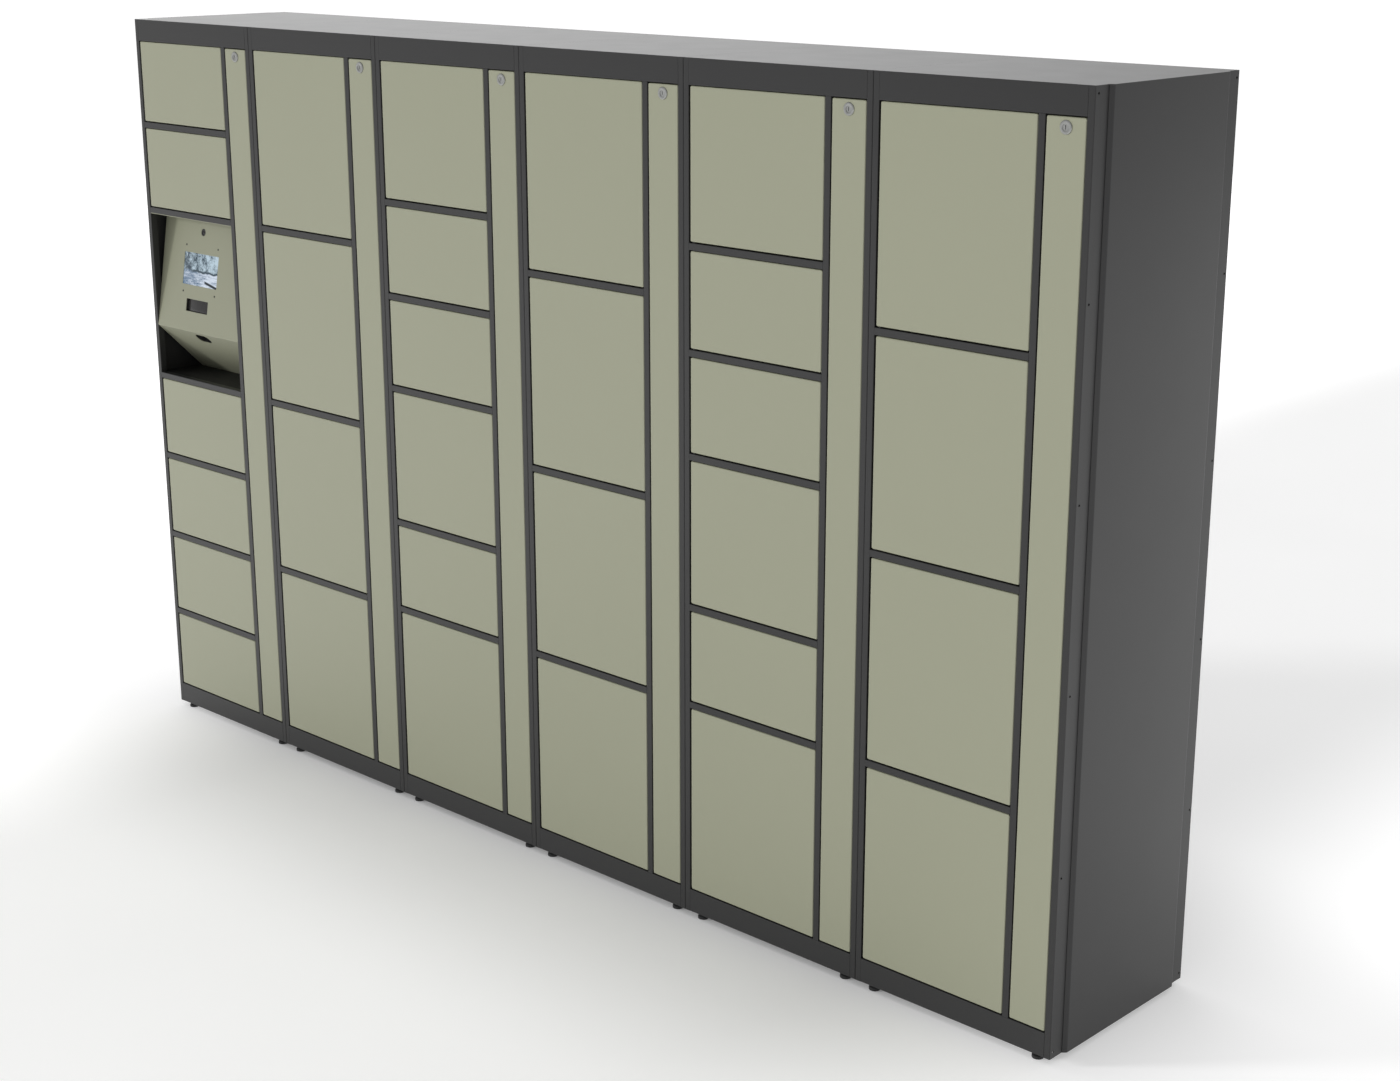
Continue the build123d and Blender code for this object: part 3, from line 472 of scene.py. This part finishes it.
door_paint = powder_coat("door_paint", (0.276, 0.2815, 0.204), 0.42, 0.015)
STRIKER_SHEET = 0.0020
STRIKER_REACH = 0.0460
STRIKER_TALL = 0.0220
STRIKER_HOLE = 0.0044
BOLT_DEEP = 0.0370
PLATING = 0.00012
half = STRIKER_TALL / 2 + PLATING
for name in door_nodes:
    coat(name, door_paint)
    latch = door_boxes[name][1][0]
    plate = holed_plate(
        (front + 0.0018, -half),
        (front + STRIKER_REACH + PLATING, half),
        (front + BOLT_DEEP, 0.0),
        STRIKER_HOLE,
        STRIKER_SHEET + 2 * PLATING,
    )
    place = (latch - STRIKER_INSET - STRIKER_SHEET - PLATING, 0, hinges[name][2])
    finished(name.replace("door", "striker"), copies(plate, [place]), zinc, name)


# Service panels: narrow sage trays over the lock ducts, hooked at the foot and locked at the top.
# Each cam lock has a nickel-plated barrel with a low domed head, and a plug that carries the cam.
nickel = moulded("satin_nickel", (0.37, 0.375, 0.365), 0.42, metal=1.0, scale=420.0, depth=0.00001)
HEAD_RADIUS = 0.01295
HEAD_PROUD = 0.00212
SLEEVE_RADIUS = 0.00962
SLEEVE_END = -0.0201
BORE_RADIUS = 0.00656
barrel = turned(
    [
        (BORE_RADIUS, SLEEVE_END),
        (BORE_RADIUS, HEAD_PROUD - 0.00010),
        (BORE_RADIUS + 0.0002, HEAD_PROUD),
        (0.0112, HEAD_PROUD),
        (0.0120, HEAD_PROUD - 0.00012),
        (0.0126, HEAD_PROUD - 0.00050),
        (HEAD_RADIUS, HEAD_PROUD - 0.00110),
        (HEAD_RADIUS, 0.00005),
        (SLEEVE_RADIUS, 0.00005),
        (SLEEVE_RADIUS, SLEEVE_END),
    ],
    around=64,
)
for c in range(1, CABINETS + 1):
    panel = f"service_panel_c{c}"
    coat(panel, door_paint)
    coat(f"cam_c{c}", nickel)
    x, _, z = hinges[f"cam_c{c}"]
    placed = copies(barrel, [(x, front, z)], (1, 0, 0), (0, -1, 0))
    finished(f"lock_barrel_c{c}", placed, nickel, panel)


# Terminal: a console folded from sheet and coated sage, its face leaning back over a dark alcove.
# Display, windows and outlet are set behind openings in it, and a black unit behind it runs the locks.
# The terminal paint is the door sage at nine tenths of its brightness. It is painted shade: it keeps the console's
# leaning face and its underside darker than the doors.
coat("kiosk_shell", powder_coat("terminal_paint", (0.250, 0.255, 0.185), 0.42, 0.015))
coat("control_unit", lock_plastic)
dark_trim = moulded("dark_trim", (0.010, 0.010, 0.011), 0.50)
for node in ("kiosk_display", "kiosk_windows", "kiosk_screws"):
    coat(node, dark_trim)

shell_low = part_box("kiosk_shell")[0]
FACE_LEAN = math.radians(9.7)
LIP_RISE = 0.1325
TERMINAL_X = 0.190
SHEET = 0.0015
lip = np.array([left + TERMINAL_X, shell_low[1], shell_low[2] + LIP_RISE])
up_face = np.array([0, math.sin(FACE_LEAN), math.cos(FACE_LEAN)])
out_of_face = np.array([0, -math.cos(FACE_LEAN), math.sin(FACE_LEAN)])


def on_face(shape, across, up, depth):
    """A shape whose z points out of the face, set across and up the face from its lip, and depth behind it."""
    origin = lip + up_face * up - out_of_face * depth + np.array([across, 0, 0])
    return copies(shape, [origin], (1, 0, 0), out_of_face)


# Display: a lit 7 inch panel under glass, clamped behind its opening by four blackened button-head screws.
# It shows a plain winter landscape.
def picture_glass(name):
    """Lit display under gloss glass: pale ground, dark streaky trees above, a far bank and a near rail."""
    material = bpy.data.materials.new(name)
    material.use_nodes = True
    nodes, links = material.node_tree.nodes, material.node_tree.links
    glass = nodes["Principled BSDF"]
    glass.inputs["Base Color"].default_value = (0.012, 0.014, 0.016, 1)
    glass.inputs["Roughness"].default_value = 0.12
    glass.inputs["Emission Strength"].default_value = 1.0
    spread = nodes.new("ShaderNodeUVMap")
    spread.uv_map = "picture"
    split = nodes.new("ShaderNodeSeparateXYZ")
    links.new(spread.outputs["UV"], split.inputs["Vector"])
    across, up = split.outputs["X"], split.outputs["Y"]

    def sum_of(kind, a, b, c=0.0):
        node = nodes.new("ShaderNodeMath")
        node.operation = kind
        for socket, value in zip(node.inputs, (a, b, c)):
            if isinstance(value, float):
                socket.default_value = value
            else:
                links.new(value, socket)
        return node.outputs["Value"]

    def streaks(wide, tall, detail, turn=0.0):
        stretch = nodes.new("ShaderNodeMapping")
        stretch.inputs["Scale"].default_value = (wide, tall, 1)
        stretch.inputs["Rotation"].default_value = (0, 0, turn)
        texture = nodes.new("ShaderNodeTexNoise")
        texture.inputs["Scale"].default_value = 1.0
        texture.inputs["Detail"].default_value = detail
        links.new(spread.outputs["UV"], stretch.inputs["Vector"])
        links.new(stretch.outputs["Vector"], texture.inputs["Vector"])
        return texture.outputs["Fac"]

    def ramp(value, low, high):
        node = nodes.new("ShaderNodeMapRange")
        node.interpolation_type = "SMOOTHSTEP"
        node.inputs["From Min"].default_value = low
        node.inputs["From Max"].default_value = high
        links.new(value, node.inputs["Value"])
        return node.outputs["Result"]

    def blend(factor, a, b):
        node = nodes.new("ShaderNodeMix")
        node.data_type = "RGBA"
        links.new(factor, node.inputs["Factor"])
        for socket, value in ((node.inputs["A"], a), (node.inputs["B"], b)):
            if isinstance(value, tuple):
                socket.default_value = (*value, 1)
            else:
                links.new(value, socket)
        return node.outputs["Result"]

    twigs = sum_of("MULTIPLY", streaks(38.0, 16.0, 3.0), 0.45)
    boughs = sum_of("MULTIPLY_ADD", streaks(7.0, 3.0, 4.0), 0.65, twigs)
    trunks = sum_of("MULTIPLY_ADD", across, 0.14, boughs)
    trees = blend(ramp(trunks, 0.47, 0.76), (0.010, 0.032, 0.052), (0.46, 0.58, 0.66))
    ripples = sum_of("MULTIPLY", streaks(22.0, 34.0, 3.0), 0.35)
    tracks = sum_of("MULTIPLY_ADD", streaks(4.0, 11.0, 4.0, 0.5), 0.65, ripples)
    drifts = sum_of("MULTIPLY_ADD", across, 0.22, tracks)
    snow = blend(ramp(drifts, 0.42, 0.76), (0.060, 0.120, 0.205), (0.62, 0.69, 0.79))
    skyline = sum_of("MULTIPLY_ADD", streaks(6.0, 1.0, 3.0), 0.22, up)
    scene_colour = blend(ramp(skyline, 0.52, 0.60), snow, trees)
    bank = sum_of("ABSOLUTE", sum_of("SUBTRACT", skyline, 0.555), 0.0)
    bank_mask = sum_of("MULTIPLY", ramp(sum_of("SUBTRACT", 0.050, bank), 0.0, 0.035), ramp(across, 0.16, 0.30))
    scene_colour = blend(bank_mask, scene_colour, (0.030, 0.055, 0.075))
    rail = sum_of("ABSOLUTE", sum_of("MULTIPLY_ADD", across, 0.36, sum_of("SUBTRACT", up, 0.375)), 0.0)
    rail_mask = sum_of("MULTIPLY", ramp(sum_of("SUBTRACT", 0.050, rail), 0.0, 0.02), ramp(across, 0.60, 0.66))
    scene_colour = blend(rail_mask, scene_colour, (0.004, 0.010, 0.014))
    links.new(scene_colour, glass.inputs["Emission Color"])
    return material


SCREEN = (0.154, 0.086)
SCREEN_UP = 0.1665
SCREEN_LAP = 0.001
half_wide, half_tall = SCREEN[0] / 2 + SCREEN_LAP, SCREEN[1] / 2 + SCREEN_LAP
screen = block((-half_wide, -half_tall, 0), (half_wide, half_tall, 0.0003), 0.0001)
screen = on_face(screen, 0, SCREEN_UP, SHEET)
picture = finished("display_picture", screen, picture_glass("display_glass"), "root")
layer = picture.data.uv_layers.new(name="picture")
corners = np.zeros(len(picture.data.loops), np.int32)
picture.data.loops.foreach_get("vertex_index", corners)
points = np.zeros(len(picture.data.vertices) * 3)
picture.data.vertices.foreach_get("co", points)
points = points.reshape(-1, 3) - lip - up_face * SCREEN_UP
spread = np.stack([points[:, 0] / SCREEN[0] + 0.5, points @ up_face / SCREEN[1] + 0.5], -1)
layer.data.foreach_set("uv", spread[corners].ravel())

SCREW_SPREAD = (0.143, 0.124)
dot = turned(
    [(0, 0.0002), (0.0011, 0.0002), (0.0011, 0.0008), (0.0019, 0.0008), (0.0026, 0.0003), (0.0027, 0), (0, 0)],
    around=24,
)
dots = [
    on_face(dot, sx * SCREW_SPREAD[0] / 2, SCREEN_UP + sy * SCREW_SPREAD[1] / 2, 0)
    for sx in (-1, 1)
    for sy in (-1, 1)
]
finished("display_screws", joined(*dots), dark_steel, "root")

# Scanner window: a tinted plastic pane, 5 mm behind the back of the terminal's face.
# It is pressed into a black moulded reveal, through which a code is read.
window_glass = moulded("window_glass", (0.022, 0.021, 0.021), 0.16, scale=120.0, depth=0.000002)
SCANNER = (0.0975, 0.0332)
SCANNER_UP = 0.0696
SCANNER_ACROSS = -0.0037
SCANNER_DEEP = SHEET + 0.005
half_wide, half_tall = SCANNER[0] / 2 - 0.0004, SCANNER[1] / 2 - 0.0004
pane = block((-half_wide, -half_tall, 0), (half_wide, half_tall, 0.0006), 0.0003)
pane = on_face(pane, SCANNER_ACROSS, SCANNER_UP, SCANNER_DEEP)
finished("scanner_glass", pane, window_glass, "root")

# Camera: a small glass lens in a turned black ring.
# It is fixed from behind at a round hole above the display.
CAMERA_UP = 0.267
lens_ring = turned(
    [
        (0.0046, -0.0004),
        (0.0062, 0.0008),
        (0.0090, 0.0012),
        (0.0096, 0.0010),
        (0.0096, 0.0001),
        (0.0046, 0.0001),
    ],
    around=48,
)
lens = turned(
    [(0, 0.0012), (0.0016, 0.0011), (0.0032, 0.0007), (0.0045, 0.0001), (0.0045, -0.0004), (0, -0.0004)],
    around=48,
)
finished("camera_ring", on_face(lens_ring, 0, CAMERA_UP, SHEET), dark_trim, "root")
finished("camera_lens", on_face(lens, 0, CAMERA_UP, SHEET), window_glass, "root")


# Studio: a white floor that glows a little more away from the bank, a painted glow that leaves it darker near the
# bank, and a soft key low on the front left.
# The sky is brightest at the back left, and plain white where the camera sees it.
bpy.context.scene.view_settings.view_transform = "Standard"
floor_data = bpy.data.meshes.new("studio_floor")
turn = np.linspace(0, 2 * np.pi, 96, endpoint=False)
FLOOR_RADIUS = 14.0
rim = np.stack([FLOOR_RADIUS * np.cos(turn), FLOOR_RADIUS * np.sin(turn), 0 * turn], -1)
floor_data.from_pydata(rim.tolist(), [], [list(range(96))])
floor = bpy.data.objects.new("studio_floor", floor_data)
bpy.context.scene.collection.objects.link(floor)
floor_white = moulded("floor_white", (0.80, 0.80, 0.80), 0.9, scale=3.0, depth=0.0001)
surface = floor_white.node_tree.nodes["Principled BSDF"]
surface.inputs["Specular IOR Level"].default_value = 0.1
surface.inputs["Emission Color"].default_value = (1, 1, 1, 1)
glow = floor_white.node_tree
place = glow.nodes.new("ShaderNodeTexCoord")
apart = glow.nodes.new("ShaderNodeVectorMath")
apart.operation = "ABSOLUTE"
sides = glow.nodes.new("ShaderNodeSeparateXYZ")
glow.links.new(place.outputs["Object"], apart.inputs[0])
glow.links.new(apart.outputs["Vector"], sides.inputs["Vector"])
ramps = []
# Painted light: the floor's emission is low near the bank and rises with distance along X and Y.
for axis, start, end, dim, lit in (("X", 0.90, 1.90, 0.10, 0.48), ("Y", 0.25, 1.00, 0.03, 0.25)):
    ramp = glow.nodes.new("ShaderNodeMapRange")
    ramp.interpolation_type = "SMOOTHSTEP"
    ramp.inputs["From Min"].default_value = start
    ramp.inputs["From Max"].default_value = end
    ramp.inputs["To Min"].default_value = dim
    ramp.inputs["To Max"].default_value = lit
    glow.links.new(sides.outputs[axis], ramp.inputs["Value"])
    ramps.append(ramp.outputs["Result"])
both = glow.nodes.new("ShaderNodeMath")
both.operation = "ADD"
glow.links.new(ramps[0], both.inputs[0])
glow.links.new(ramps[1], both.inputs[1])
glow.links.new(both.outputs["Value"], surface.inputs["Emission Strength"])
floor_data.materials.append(floor_white)

key_data = bpy.data.lights.new("key_light", "SUN")
key_data.energy = 1.80
key_data.angle = math.radians(9)
key = bpy.data.objects.new("key_light", key_data)
key.rotation_euler = (math.radians(78), 0, math.radians(-46))
key.visible_glossy = False
bpy.context.scene.collection.objects.link(key)

world = bpy.data.worlds.new("studio_sky")
bpy.context.scene.world = world
world.use_nodes = True
sky, wires = world.node_tree.nodes, world.node_tree.links
backdrop = sky["Background"]
backdrop.inputs["Color"].default_value = (1, 1, 1, 1)
direction = sky.new("ShaderNodeTexCoord")
toward = sky.new("ShaderNodeVectorMath")
toward.operation = "DOT_PRODUCT"
toward.inputs[1].default_value = (-0.93, 0.37, 0.0)
wires.new(direction.outputs["Generated"], toward.inputs[0])
strength = sky.new("ShaderNodeMapRange")
strength.interpolation_type = "SMOOTHSTEP"
strength.inputs["From Min"].default_value = 0.58
strength.inputs["From Max"].default_value = 1.00
strength.inputs["To Min"].default_value = 0.53
strength.inputs["To Max"].default_value = 1.70
wires.new(toward.outputs["Value"], strength.inputs["Value"])
seen = sky.new("ShaderNodeLightPath")
plain = sky.new("ShaderNodeMix")
wires.new(seen.outputs["Is Camera Ray"], plain.inputs["Factor"])
wires.new(strength.outputs["Result"], plain.inputs["A"])
plain.inputs["B"].default_value = 1.05
wires.new(plain.outputs["Result"], backdrop.inputs["Strength"])
